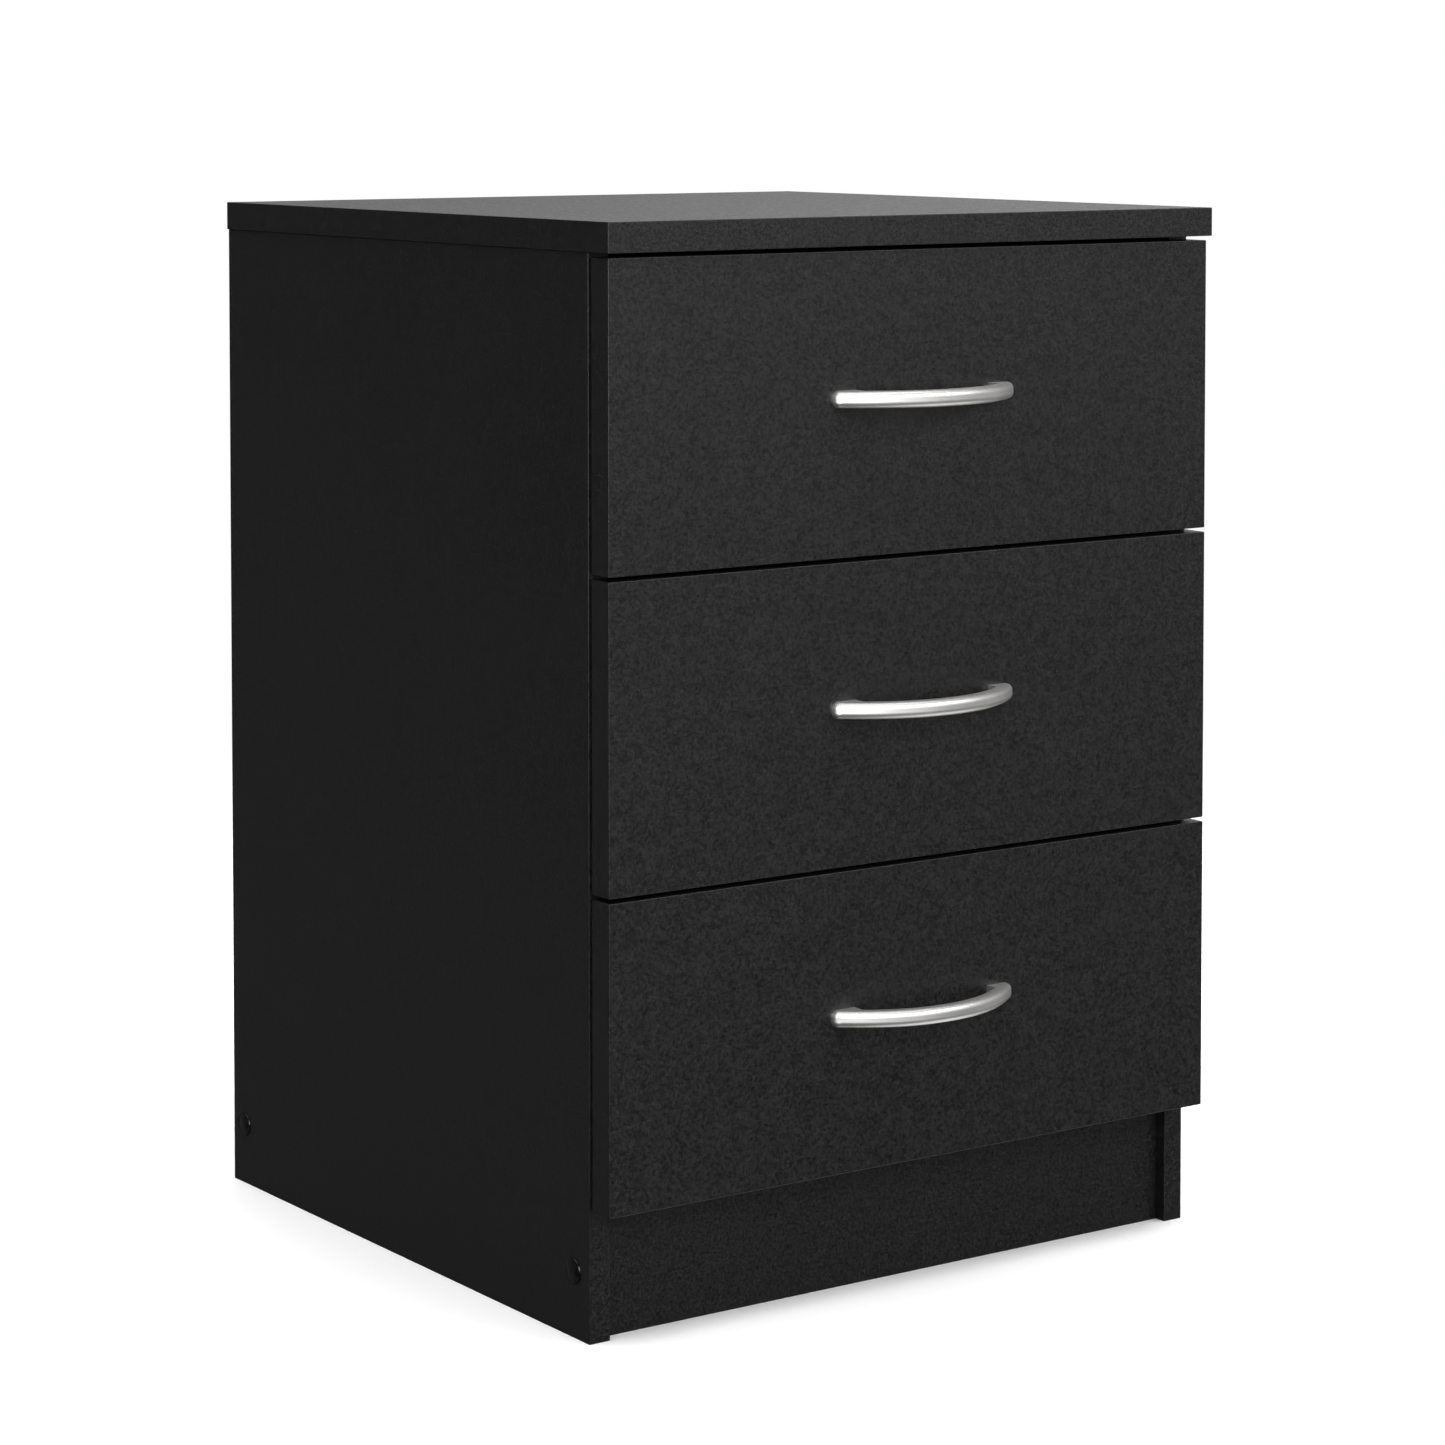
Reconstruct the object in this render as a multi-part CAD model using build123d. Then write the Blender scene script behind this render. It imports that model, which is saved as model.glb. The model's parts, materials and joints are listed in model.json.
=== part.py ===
from build123d import *
import math
import os

# Three-drawer nightstand, flat-pack board construction. Millimetres.
# +X is to the right, the drawers face -Y, +Z is up. The origin is on the floor, in the middle
# of the width, and midway between the handles' outermost point and the back.

# ---------------------------------------------------------------- driving dimensions
OVERALL_HEIGHT = 545.0
CARCASS_WIDTH = 380.0
TOP_WIDTH = 382.0
TOP_DEPTH = 382.0
TOP_THICKNESS = 15.0
SIDE_THICKNESS = 12.0
SIDE_SETBACK = 19.15          # side panel's front edge behind the top's front edge
BOARD_ARRIS = 0.4             # rounding of an edged board's corners
RAW_ARRIS = 0.25              # rounding of the boards inside

FRONT_WIDTH = 378.5
FRONT_HEIGHT = 152.5
FRONT_THICKNESS = 15.0
FRONT_SETBACK = 2.6           # drawer front's face behind the top's front edge
FRONT_GAP = 2.3               # above each drawer front

PLINTH_HEIGHT = 66.0
PLINTH_THICKNESS = 15.0
PLINTH_RECESS = 6.6           # behind the side panels' front edges
RAIL_FROM_BACK = 5.25

BACK_THICKNESS = 3.0
REBATE_DEPTH = 5.25           # in from the side panel's back edge
REBATE_WIDTH = 6.2            # into the side panel's thickness
BACK_BOTTOM = 8.0

HANDLE_HOLE_SPACING = 96.0
HANDLE_ABOVE_MIDDLE = 2.9
HANDLE_RISE = 22.1            # centre line of the bow above the drawer front
HANDLE_SPAN = 54.2            # half the centre line's length on the drawer front
HANDLE_POWER = 2.15
HANDLE_HALF_THICKNESS = 3.5
HANDLE_HALF_HEIGHT = 4.3
HANDLE_FOOT_INNER = 42.4
HANDLE_FOOT_OUTER = 56.9

DRAWER_SIDE_CLEARANCE = 12.5  # each side, for the roller runner
DRAWER_BOARD = 12.0
DRAWER_SIDE_HEIGHT = 110.0
DRAWER_SIDE_LENGTH = 350.0
DRAWER_SIDE_ABOVE_FRONT = 17.0
DRAWER_BOTTOM_THICKNESS = 3.0
DRAWER_GROOVE_DEPTH = 5.0
DRAWER_GROOVE_HEIGHT = 10.0   # groove's lower wall above the drawer side's lower edge
GROOVE_PLAY = 0.2

RUNNER_LENGTH = 350.0
RUNNER_STEEL = 1.2
RUNNER_HEIGHT = 19.2
RUNNER_FLANGE = 10.2
RUNNER_LIP = 8.0
RUNNER_SETBACK = 2.0          # behind the side panel's front edge
RUNNER_BELOW_DRAWER = 3.0     # cabinet runner's lower face below the drawer side
SLIDER_STEEL = 1.0
SLIDER_LENGTH = 344.0
SLIDER_TOP = 21.5             # above the cabinet runner's lower face
SLIDER_OUTER = 3.0            # running flange's edge, from the side panel
SLIDER_INNER = 24.0           # supporting flange's edge, from the side panel
ROLLER_RADIUS = 8.0
ROLLER_WIDTH = 5.8
ROLLER_BORE = 2.56
AXLE_RADIUS = 2.5
TRACK_GAP = 0.3               # between a roller and the track that it runs on
TRAVEL = 256.0                # drawer's full extension

DRAWERS = ("top", "middle", "bottom")
SIDES = ("left", "right")

# ---------------------------------------------------------------- worked-out positions
PROUD = HANDLE_RISE + HANDLE_HALF_THICKNESS
Y_BACK = (TOP_DEPTH - FRONT_SETBACK + PROUD) / 2
Y_TOP_FRONT = Y_BACK - TOP_DEPTH
Y_FACE = Y_TOP_FRONT + FRONT_SETBACK
Y_FRONT_BACK = Y_FACE + FRONT_THICKNESS
Y_SIDE_FRONT = Y_TOP_FRONT + SIDE_SETBACK
Y_PLINTH = Y_SIDE_FRONT + PLINTH_RECESS
Y_RAIL = Y_BACK - RAIL_FROM_BACK - PLINTH_THICKNESS
Z_TOP = OVERALL_HEIGHT - TOP_THICKNESS
X_OUTER = CARCASS_WIDTH / 2
X_INNER = X_OUTER - SIDE_THICKNESS
X_DRAWER = X_INNER - DRAWER_SIDE_CLEARANCE
X_DRAWER_INNER = X_DRAWER - DRAWER_BOARD
Y_DRAWER_BACK = Y_FRONT_BACK + DRAWER_SIDE_LENGTH
Y_RUNNER = Y_SIDE_FRONT + RUNNER_SETBACK

FIT = 0.05                    # drilled holes are this much larger in radius than what fills them
HOLE_SPARE = 0.5              # blind holes are this much deeper than what fills them
PAST = 1.0                    # cutting solids run this far past the face that they cut


def front_bottom(index):
    """Height of a drawer front's lower edge; index 0 is the top drawer."""
    return Z_TOP - (index + 1) * (FRONT_HEIGHT + FRONT_GAP)


def side_bottom(index):
    """Height of a drawer side's lower edge."""
    return front_bottom(index) + DRAWER_SIDE_ABOVE_FRONT


def runner_bottom(index):
    """Height of a cabinet runner's lower face."""
    return side_bottom(index) - RUNNER_BELOW_DRAWER


# ---------------------------------------------------------------- small makers
def block(x, y, z, arris=0.0):
    """Board between two coordinates on each axis, with its edges rounded by arris."""
    size = [abs(high - low) for low, high in (x, y, z)]
    centre = [(low + high) / 2 for low, high in (x, y, z)]
    solid = Pos(*centre) * Box(*size)
    return fillet(solid.edges(), arris) if arris else solid


def rod(direction, at, radius, low, high):
    """Cylinder along X, Y or Z from low to high; at holds its two other coordinates."""
    return cone(direction, at, radius, radius, low, high)


def cone(direction, at, radius_low, radius_high, low, high):
    """Cone or cylinder along X, Y or Z, with a radius at each end."""
    origins = {"X": (low, at[0], at[1]), "Y": (at[0], low, at[1]), "Z": (at[0], at[1], low)}
    normals = {"X": (1, 0, 0), "Y": (0, 1, 0), "Z": (0, 0, 1)}
    place = Plane(origin=origins[direction], z_dir=normals[direction])
    base = (Align.CENTER, Align.CENTER, Align.MIN)
    if radius_low == radius_high:
        return place * Cylinder(radius_low, high - low, align=base)
    return place * Cone(radius_low, radius_high, high - low, align=base)


def mirrored(solids):
    """The same solids on the other side of the middle plane."""
    return [mirror(solid, Plane.YZ) for solid in solids]


def both_sides(solids):
    return solids + mirrored(solids)


def handed(solids, side):
    """Solids drawn for the right side (+X), handed to the named side."""
    return solids if side == "right" else mirrored(solids)


def drilled(board, holes):
    for hole in holes:
        board = board - hole
    return board


def write(node, solids):
    """One STEP file per node, holding one or more separate solids."""
    pieces = [piece for solid in solids for piece in solid.solids()]
    shape = pieces[0] if len(pieces) == 1 else Compound(children=pieces)
    export_step(shape, f"parts/{node}.step")


# ---------------------------------------------------------------- confirmat screws and caps
CONFIRMAT_LENGTH = 50.0
CONFIRMAT_RADIUS = 3.2
CONFIRMAT_NECK_RADIUS = 3.5
CONFIRMAT_HEAD_RADIUS = 5.0
CONFIRMAT_HEAD = 3.4
CONFIRMAT_TIP = 4.0
CONFIRMAT_TIP_RADIUS = 1.0
CONFIRMAT_NECK_IN_BOARD = 1.0  # neck's end before the side panel's inner face
SOCKET_RADIUS = 2.3           # to the hexagon's corners
SOCKET_DEPTH = 2.6
CAP_RADIUS = 6.6
CAP_RIM = 0.7
CAP_DOME = 1.5
CAP_ROUND = 0.6
CAP_STEM_RADIUS = 1.9
CAP_STEM = 2.2
LOW_SCREW_HEIGHT = PLINTH_HEIGHT / 2
LOW_SCREW_DEPTHS = (Y_PLINTH + PLINTH_THICKNESS / 2, Y_RAIL + PLINTH_THICKNESS / 2)


def confirmat(y, play=0.0):
    """One-piece connecting screw through the right side panel; play makes its hole."""
    at = (y, LOW_SCREW_HEIGHT)
    inner = X_OUTER - CONFIRMAT_LENGTH
    neck = X_INNER - CONFIRMAT_NECK_IN_BOARD
    head = X_OUTER - CONFIRMAT_HEAD
    thread_end = inner + CONFIRMAT_TIP
    screw = rod("X", at, CONFIRMAT_RADIUS + play, thread_end, neck)
    screw += rod("X", at, CONFIRMAT_NECK_RADIUS + play, neck, head)
    screw += cone("X", at, CONFIRMAT_NECK_RADIUS + play, CONFIRMAT_HEAD_RADIUS + play, head, X_OUTER)
    screw += cone("X", at, CONFIRMAT_TIP_RADIUS + play, CONFIRMAT_RADIUS + play, inner, thread_end)
    if play:
        return screw
    socket = Plane(origin=(X_OUTER - SOCKET_DEPTH, *at), z_dir=(1, 0, 0))
    return screw - extrude(socket * RegularPolygon(SOCKET_RADIUS, 6), SOCKET_DEPTH)


def screw_cap(y):
    """Push-in cover: a shallow dome with a short stem in the screw's socket."""
    outline = Curve() + [
        Line((0, -CAP_STEM), (CAP_STEM_RADIUS, -CAP_STEM)),
        Line((CAP_STEM_RADIUS, -CAP_STEM), (CAP_STEM_RADIUS, 0)),
        Line((CAP_STEM_RADIUS, 0), (CAP_RADIUS, 0)),
        Line((CAP_RADIUS, 0), (CAP_RADIUS, CAP_RIM)),
        TangentArc((0, CAP_RIM + CAP_DOME), (CAP_RADIUS, CAP_RIM), tangent=(1, 0)),
        Line((0, CAP_RIM + CAP_DOME), (0, -CAP_STEM)),
    ]
    section = make_face(outline)
    rim = section.vertices().sort_by_distance((CAP_RADIUS, CAP_RIM))[0]
    cap = revolve(fillet(rim, CAP_ROUND), Axis.Y)
    place = Plane(origin=(X_OUTER, y, LOW_SCREW_HEIGHT), x_dir=(0, 0, 1), z_dir=(0, 1, 0))
    return place * cap


# ---------------------------------------------------------------- cam fittings and dowels
CAM_RADIUS = 7.5
CAM_DEPTH = 9.4
CAM_DISTANCE = 24.0
BOLT_THREAD_RADIUS = 2.5
BOLT_THREAD = 11.0
BOLT_RADIUS = 3.0
BOLT_NECK_RADIUS = 1.9
BOLT_HEAD_RADIUS = 3.1
BOLT_HOLE_RADIUS = 3.7
BOLT_PAST_CENTRE = 3.4
BOLT_NECK = 5.0
CAM_POCKET_RADIUS = 3.4       # room for the bolt's head inside the cam
CAM_POCKET_PLAY = 0.4         # past the bolt's end
CAM_SLOT = (6.0, 1.4, 1.6)    # screwdriver cross: length, width, depth
DOWEL_RADIUS = 3.0
DOWEL_LENGTH = 30.0
DOWEL_CHAMFER = 0.8


def cam(x_face, inward, across, along, bolt_direction, toward):
    """Cam housing flush in a board's face at x_face.

    inward is +1 or -1, the way into the board along X. across and along are Y and Z of its
    centre, and the connecting bolt comes in along bolt_direction from the toward side.
    """
    low, high = sorted((x_face, x_face + inward * CAM_DEPTH))
    body = rod("X", (across, along), CAM_RADIUS, low, high)
    middle_x = x_face + inward * DRAWER_BOARD / 2
    closed_end = -toward * (BOLT_PAST_CENTRE + CAM_POCKET_PLAY)
    open_end = toward * (CAM_RADIUS + PAST)
    start, end = sorted((closed_end, open_end))
    if bolt_direction == "Z":
        pocket = rod("Z", (middle_x, across), CAM_POCKET_RADIUS, along + start, along + end)
    else:
        pocket = rod("Y", (middle_x, along), CAM_POCKET_RADIUS, across + start, across + end)
    body -= pocket
    length, width, depth = CAM_SLOT
    slot_x = x_face + inward * depth / 2
    cross = Pos(slot_x, across, along) * Box(depth, length, width)
    cross += Pos(slot_x, across, along) * Box(depth, width, length)
    return body - cross


def cam_pocket(x_face, inward, across, along):
    low, high = sorted((x_face, x_face + inward * (CAM_DEPTH + FIT)))
    return rod("X", (across, along), CAM_RADIUS + FIT, low, high)


def cam_bolt(direction, at, joint, toward):
    """Bolt that crosses the joint plane; its thread lies on the toward side."""
    centre = joint - toward * CAM_DISTANCE
    shoulder = centre + toward * BOLT_NECK
    spans = (
        (BOLT_THREAD_RADIUS, joint, joint + toward * BOLT_THREAD),
        (BOLT_RADIUS, shoulder, joint),
        (BOLT_NECK_RADIUS, centre, shoulder),
        (BOLT_HEAD_RADIUS, centre - toward * BOLT_PAST_CENTRE, centre),
    )
    bolt = None
    for radius, first, second in spans:
        piece = rod(direction, at, radius, min(first, second), max(first, second))
        bolt = piece if bolt is None else bolt + piece
    return bolt


def dowel(direction, at, middle):
    """Beech dowel with chamfered ends, centred on middle."""
    pin = rod(direction, at, DOWEL_RADIUS, middle - DOWEL_LENGTH / 2, middle + DOWEL_LENGTH / 2)
    return chamfer(pin.edges().filter_by(GeomType.CIRCLE), DOWEL_CHAMFER)


# ---------------------------------------------------------------- screws
SCREW_RADIUS = 1.7
SCREW_HEAD_RADIUS = 3.4
CROSS_LENGTH = 3.6            # driver recess of the wood screws
CROSS_WIDTH = 0.8
CROSS_DEPTH = 0.8
RUNNER_SCREW_HEAD = 1.2
RUNNER_SCREW_ROUND = 0.5
RUNNER_SCREW_LENGTH = 9.0
RUNNER_SCREW_SETBACKS = (37.0, 165.0, 325.0)


def cross_recess(x_face, inward, place):
    """Driver cross sunk into a screw head's face at x_face; inward is +1 or -1 along X."""
    centre = Pos(x_face + inward * CROSS_DEPTH / 2, *place)
    upright = Box(CROSS_DEPTH, CROSS_WIDTH, CROSS_LENGTH)
    return centre * (Box(CROSS_DEPTH, CROSS_LENGTH, CROSS_WIDTH) + upright)


def runner_screw_places(index):
    """Y and Z of one cabinet runner's three screws."""
    height = runner_bottom(index) + RUNNER_STEEL + TRACK_GAP + ROLLER_RADIUS
    return [(Y_SIDE_FRONT + setback, height) for setback in RUNNER_SCREW_SETBACKS]


def runner_screw(place):
    web = X_INNER - RUNNER_STEEL
    shank = rod("X", place, SCREW_RADIUS, web, web + RUNNER_STEEL + RUNNER_SCREW_LENGTH)
    head = rod("X", place, SCREW_HEAD_RADIUS, web - RUNNER_SCREW_HEAD, web)
    recess = cross_recess(web - RUNNER_SCREW_HEAD, 1, place)
    return fillet(head.edges().sort_by(Axis.X)[:1], RUNNER_SCREW_ROUND) + shank - recess


# ---------------------------------------------------------------- carcass boards
TOP_CAM_SETBACKS = (52.0, 300.0)
TOP_DOWEL_SETBACKS = (88.0, 264.0)
TOP_DOWEL_IN_TOP = 10.0
LOW_DOWEL_HEIGHTS = (14.0, 52.0)
LOW_DOWEL_IN_SIDE = 8.0
BOARD_MIDDLE = X_OUTER - SIDE_THICKNESS / 2


def low_dowels():
    """Dowels that locate the plinth and the rear rail in the right side panel."""
    middle = X_INNER + LOW_DOWEL_IN_SIDE - DOWEL_LENGTH / 2
    return [dowel("X", (y, z), middle) for y in LOW_SCREW_DEPTHS for z in LOW_DOWEL_HEIGHTS]


def low_dowel_holes():
    start = X_INNER + LOW_DOWEL_IN_SIDE - DOWEL_LENGTH - HOLE_SPARE
    end = X_INNER + LOW_DOWEL_IN_SIDE + HOLE_SPARE
    return [rod("X", (y, z), DOWEL_RADIUS + FIT, start, end)
            for y in LOW_SCREW_DEPTHS for z in LOW_DOWEL_HEIGHTS]


def top_dowel_places():
    return [(BOARD_MIDDLE, Y_SIDE_FRONT + setback) for setback in TOP_DOWEL_SETBACKS]


def top_cam_places():
    return [(BOARD_MIDDLE, Y_SIDE_FRONT + setback) for setback in TOP_CAM_SETBACKS]


def top_dowels():
    middle = Z_TOP + TOP_DOWEL_IN_TOP - DOWEL_LENGTH / 2
    return [dowel("Z", place, middle) for place in top_dowel_places()]


def top_holes():
    """Holes shared by the top panel and the right side panel's upper edge."""
    low = Z_TOP + TOP_DOWEL_IN_TOP - DOWEL_LENGTH - HOLE_SPARE
    return [rod("Z", place, DOWEL_RADIUS + FIT, low, Z_TOP + TOP_DOWEL_IN_TOP + HOLE_SPARE)
            for place in top_dowel_places()]


def top_panel():
    half = TOP_WIDTH / 2
    panel = block((-half, half), (Y_TOP_FRONT, Y_BACK), (Z_TOP, OVERALL_HEIGHT), BOARD_ARRIS)
    holes = top_holes()
    for place in top_cam_places():
        holes.append(rod("Z", place, BOLT_THREAD_RADIUS + FIT, Z_TOP, Z_TOP + BOLT_THREAD + HOLE_SPARE))
    return drilled(panel, both_sides(holes))


def side_panel():
    """Right side panel, with the rebate for the back and every drilled hole."""
    panel = block((X_INNER, X_OUTER), (Y_SIDE_FRONT, Y_BACK), (0, Z_TOP), BOARD_ARRIS)
    holes = [block((X_INNER - PAST, X_INNER + REBATE_WIDTH), (Y_BACK - REBATE_DEPTH, Y_BACK + PAST),
                   (-PAST, Z_TOP + PAST))]
    holes += top_holes() + low_dowel_holes()
    holes += [confirmat(y, FIT) for y in LOW_SCREW_DEPTHS]
    holes += [nail(place, FIT) for place in nail_places()]
    for x, y in top_cam_places():
        holes.append(cam_pocket(X_INNER, 1, y, Z_TOP - CAM_DISTANCE))
        holes.append(rod("Z", (x, y), BOLT_HOLE_RADIUS, Z_TOP - CAM_DISTANCE, Z_TOP))
    for index in range(len(DRAWERS)):
        for place in runner_screw_places(index):
            end = X_INNER + RUNNER_SCREW_LENGTH + HOLE_SPARE
            holes.append(rod("X", place, SCREW_RADIUS + FIT, X_INNER, end))
    return drilled(panel, holes)


def cross_board(y_low):
    """Plinth or rear rail: a board on the floor between the side panels."""
    board = block((-X_INNER, X_INNER), (y_low, y_low + PLINTH_THICKNESS), (0, PLINTH_HEIGHT), BOARD_ARRIS)
    holes = low_dowel_holes() + [confirmat(y, FIT) for y in LOW_SCREW_DEPTHS]
    return drilled(board, both_sides(holes))


NAIL_RADIUS = 0.7
NAIL_HEAD_RADIUS = 1.6
NAIL_HEAD = 0.5
NAIL_LENGTH = 20.0
NAIL_HEIGHTS = (40.0, 150.0, 270.0, 390.0, 500.0)
NAIL_RAIL_X = (-110.0, 0.0, 110.0)
NAIL_TOP_INSET = 3.1
BACK_PLAY = 0.2
X_BACK = X_INNER + REBATE_WIDTH - BACK_PLAY
Y_BACK_REAR = Y_BACK - REBATE_DEPTH + BACK_THICKNESS


def nail_places():
    """X and Z of the back panel's nails: up both sides and along the rear rail."""
    x_side = X_INNER + NAIL_TOP_INSET
    sides = [(sign * x_side, z) for sign in (-1, 1) for z in NAIL_HEIGHTS]
    return sides + [(x, NAIL_HEIGHTS[0]) for x in NAIL_RAIL_X]


def nail(place, play=0.0):
    """Flat-headed nail through the back panel; play makes its hole."""
    shank = rod("Y", place, NAIL_RADIUS + play, Y_BACK_REAR - NAIL_LENGTH, Y_BACK_REAR)
    if play:
        return shank
    return shank + rod("Y", place, NAIL_HEAD_RADIUS, Y_BACK_REAR, Y_BACK_REAR + NAIL_HEAD)


def back_panel():
    panel = block((-X_BACK, X_BACK), (Y_BACK_REAR - BACK_THICKNESS, Y_BACK_REAR),
                  (BACK_BOTTOM, Z_TOP - BACK_PLAY), RAW_ARRIS)
    return drilled(panel, [nail(place, FIT) for place in nail_places()])


# ---------------------------------------------------------------- roller runners
ROLLER_GAP = 0.2              # between a roller's side and the boss or head beside it
AXLE_HEAD_RADIUS = 4.0
AXLE_HEAD = 0.8
BOSS_RADIUS = 3.6
CABINET_ROLLER_INSET = 1.8    # boss length on the cabinet runner
SLIDER_ROLLER_INSET = 1.5     # boss length on the drawer runner
AXLE_FROM_END = 12.0          # roller axle from the end of its runner
SLIDER_BEHIND_FRONT = 1.0
CABINET_AXLE_Y = Y_RUNNER + AXLE_FROM_END
SLIDER_START = Y_FRONT_BACK + SLIDER_BEHIND_FRONT
SLIDER_AXLE_Y = SLIDER_START + SLIDER_LENGTH - AXLE_FROM_END
ROLLER_ROUND = 0.5
ROLLER_RING_DEPTH = 0.6
ROLLER_RIM = 2.0
ROLLER_HUB = 1.4              # round the bore
LIP_START = 24.0              # upper lip starts behind the front roller
STOP_HEIGHT = 5.0
STOP_WIDTH = 6.0
STOP_GAP = 0.6
SLIDER_SCREW_SETBACKS = (40.0, 170.0, 300.0)
SLIDER_SCREW_LENGTH = 9.0
SLIDER_SCREW_HEAD = 1.6
SLIDER_HOLE_SPARE = 0.3       # less than HOLE_SPARE, so that the hole stops below the groove
X_SLIDER = X_INNER - DRAWER_SIDE_CLEARANCE


def cabinet_axle_height(index):
    track = runner_bottom(index) + SLIDER_TOP - SLIDER_STEEL
    return track - TRACK_GAP - ROLLER_RADIUS


def slider_axle_height(index):
    return runner_bottom(index) + RUNNER_STEEL + TRACK_GAP + ROLLER_RADIUS


def stop_reach():
    """Distance along the track from a roller's centre to where it meets a stop's top."""
    rise = ROLLER_RADIUS + TRACK_GAP - STOP_HEIGHT
    return math.sqrt(ROLLER_RADIUS ** 2 - rise ** 2)


def cabinet_runner(index):
    """Right-hand cabinet runner: channel, two stops and the front roller's riveted axle."""
    base = runner_bottom(index)
    web_x = X_INNER - RUNNER_STEEL
    y_span = (Y_RUNNER, Y_RUNNER + RUNNER_LENGTH)
    steel = block((web_x, X_INNER), y_span, (base, base + RUNNER_HEIGHT))
    steel += block((X_INNER - RUNNER_FLANGE, X_INNER), y_span, (base, base + RUNNER_STEEL))
    steel += block((X_INNER - RUNNER_LIP, X_INNER), (Y_RUNNER + LIP_START, y_span[1]),
                   (base + RUNNER_HEIGHT - RUNNER_STEEL, base + RUNNER_HEIGHT))
    front_stop = SLIDER_AXLE_Y - TRAVEL - stop_reach() - STOP_GAP
    rear_stop = SLIDER_AXLE_Y + stop_reach() + STOP_GAP
    stop_x = X_INNER - RUNNER_FLANGE
    for low in (front_stop - RUNNER_STEEL, rear_stop):
        steel += block((stop_x, stop_x + STOP_WIDTH), (low, low + RUNNER_STEEL),
                       (base, base + RUNNER_STEEL + STOP_HEIGHT))
    at = (CABINET_AXLE_Y, cabinet_axle_height(index))
    boss_end = web_x - CABINET_ROLLER_INSET
    roller_end = boss_end - ROLLER_WIDTH - 2 * ROLLER_GAP
    steel += rod("X", at, BOSS_RADIUS, boss_end, web_x)
    steel += rod("X", at, AXLE_RADIUS, roller_end - AXLE_HEAD, web_x)
    steel += rod("X", at, AXLE_HEAD_RADIUS, roller_end - AXLE_HEAD, roller_end)
    return drilled(steel, [rod("X", place, SCREW_RADIUS + FIT, web_x - PAST, X_INNER + PAST)
                           for place in runner_screw_places(index)])


def roller(at, x_low):
    """Nylon roller with rounded rims and a shallow ring turned in each side."""
    wheel = rod("X", at, ROLLER_RADIUS, x_low, x_low + ROLLER_WIDTH)
    wheel = fillet(wheel.edges().filter_by(GeomType.CIRCLE), ROLLER_ROUND)
    ring = rod("X", at, ROLLER_RADIUS - ROLLER_RIM, 0, ROLLER_RING_DEPTH)
    ring -= rod("X", at, ROLLER_BORE + ROLLER_HUB, 0, ROLLER_RING_DEPTH)
    wheel -= Pos(x_low, 0, 0) * ring
    wheel -= Pos(x_low + ROLLER_WIDTH - ROLLER_RING_DEPTH, 0, 0) * ring
    return wheel - rod("X", at, ROLLER_BORE, x_low - PAST, x_low + ROLLER_WIDTH + PAST)


def cabinet_roller(index):
    boss_end = X_INNER - RUNNER_STEEL - CABINET_ROLLER_INSET
    at = (CABINET_AXLE_Y, cabinet_axle_height(index))
    return roller(at, boss_end - ROLLER_GAP - ROLLER_WIDTH)


def drawer_runner(index):
    """Right-hand drawer runner: it wraps the drawer side's lower corner and carries a rear roller."""
    base = runner_bottom(index)
    y_span = (SLIDER_START, SLIDER_START + SLIDER_LENGTH)
    low = base + RUNNER_BELOW_DRAWER - SLIDER_STEEL
    high = base + SLIDER_TOP
    steel = block((X_SLIDER, X_SLIDER + SLIDER_STEEL), y_span, (low, high))
    steel += block((X_INNER - SLIDER_INNER, X_SLIDER + SLIDER_STEEL), y_span, (low, low + SLIDER_STEEL))
    steel += block((X_SLIDER, X_INNER - SLIDER_OUTER), y_span, (high - SLIDER_STEEL, high))
    at = (SLIDER_AXLE_Y, slider_axle_height(index))
    web = X_SLIDER + SLIDER_STEEL
    boss_end = web + SLIDER_ROLLER_INSET
    roller_end = boss_end + ROLLER_WIDTH + 2 * ROLLER_GAP
    steel += rod("X", at, BOSS_RADIUS, web, boss_end)
    steel += rod("X", at, AXLE_RADIUS, web, roller_end + AXLE_HEAD)
    steel += rod("X", at, AXLE_HEAD_RADIUS, roller_end, roller_end + AXLE_HEAD)
    return drilled(steel, [rod("Z", place, SCREW_RADIUS + FIT, low - PAST, low + SLIDER_STEEL + PAST)
                           for place in slider_screw_places()])


def drawer_roller(index):
    boss_end = X_SLIDER + SLIDER_STEEL + SLIDER_ROLLER_INSET
    return roller((SLIDER_AXLE_Y, slider_axle_height(index)), boss_end + ROLLER_GAP)


def slider_screw_places():
    """X and Y of the screws that go up through a drawer runner into the drawer side."""
    middle = X_DRAWER - DRAWER_BOARD / 2
    return [(middle, SLIDER_START + setback) for setback in SLIDER_SCREW_SETBACKS]


# ---------------------------------------------------------------- drawers
DRAWER_CAM_HEIGHTS = (32.0, 88.0)
BACK_SCREW_HEIGHTS = (34.0, 88.0)
BACK_SCREW_LENGTH = 34.0
BACK_SCREW_HEAD = 2.4
SCREW_TIP = 3.0
SCREW_TIP_RADIUS = 0.4
HANDLE_SCREW_RADIUS = 1.95
HANDLE_SCREW_HEAD_RADIUS = 4.0
HANDLE_SCREW_HEAD = 2.4
HANDLE_SCREW_ROUND = 1.2
HANDLE_SCREW_CROSS = (4.4, 1.0, 1.4)  # driver recess: length, width, depth
HANDLE_SCREW_GRIP = 6.5       # length inside the handle's foot
HANDLE_HOLE_PLAY = 0.3


def handle_height(index):
    return front_bottom(index) + FRONT_HEIGHT / 2 + HANDLE_ABOVE_MIDDLE


def cam_heights(index):
    return [side_bottom(index) + height for height in DRAWER_CAM_HEIGHTS]


def drawer_bolt_places(index):
    """X and Z of the cam bolts in a drawer front's right half."""
    return [(X_DRAWER - DRAWER_BOARD / 2, z) for z in cam_heights(index)]


def back_screw_places(index):
    middle = Y_DRAWER_BACK - DRAWER_BOARD / 2
    return [(middle, side_bottom(index) + height) for height in BACK_SCREW_HEIGHTS]


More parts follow.
